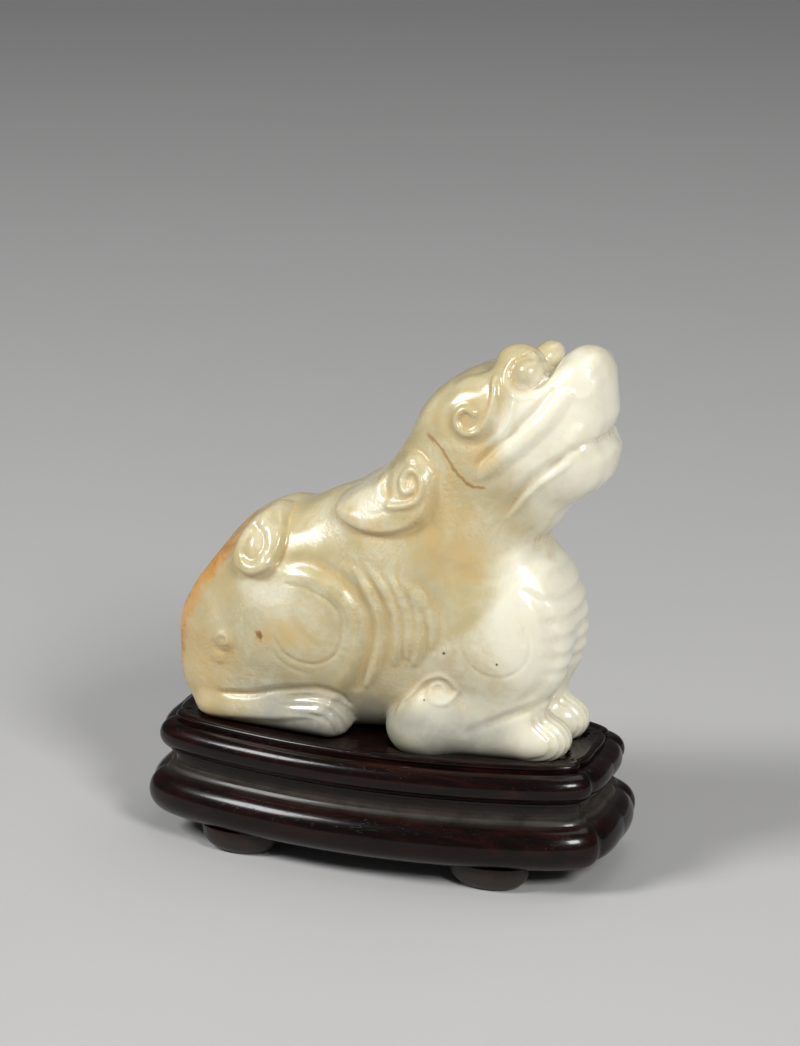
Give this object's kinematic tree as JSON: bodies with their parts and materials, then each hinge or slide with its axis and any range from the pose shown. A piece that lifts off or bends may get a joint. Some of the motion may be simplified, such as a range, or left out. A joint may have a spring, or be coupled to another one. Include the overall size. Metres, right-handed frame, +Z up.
{
  "type": "jade mythical beast carving on a hardwood stand",
  "caption": "Recumbent mythical beast carved in pale jade with its head raised, resting in the fitted recess of a moulded hardwood stand on low feet.",
  "frame": {"origin": "middle of the stand's footprint, on the surface it stands on", "axes": "+Z up, +X towards the beast's head, +Y towards its left flank"},
  "size_m": [0.0766, 0.0384, 0.0835],
  "materials": {
    "jade": "polished",
    "hardwood": "polished"
  },
  "bodies": {
    "root": {"jade_beast": "jade", "hardwood_stand": "hardwood"}
  },
  "joints": []
}
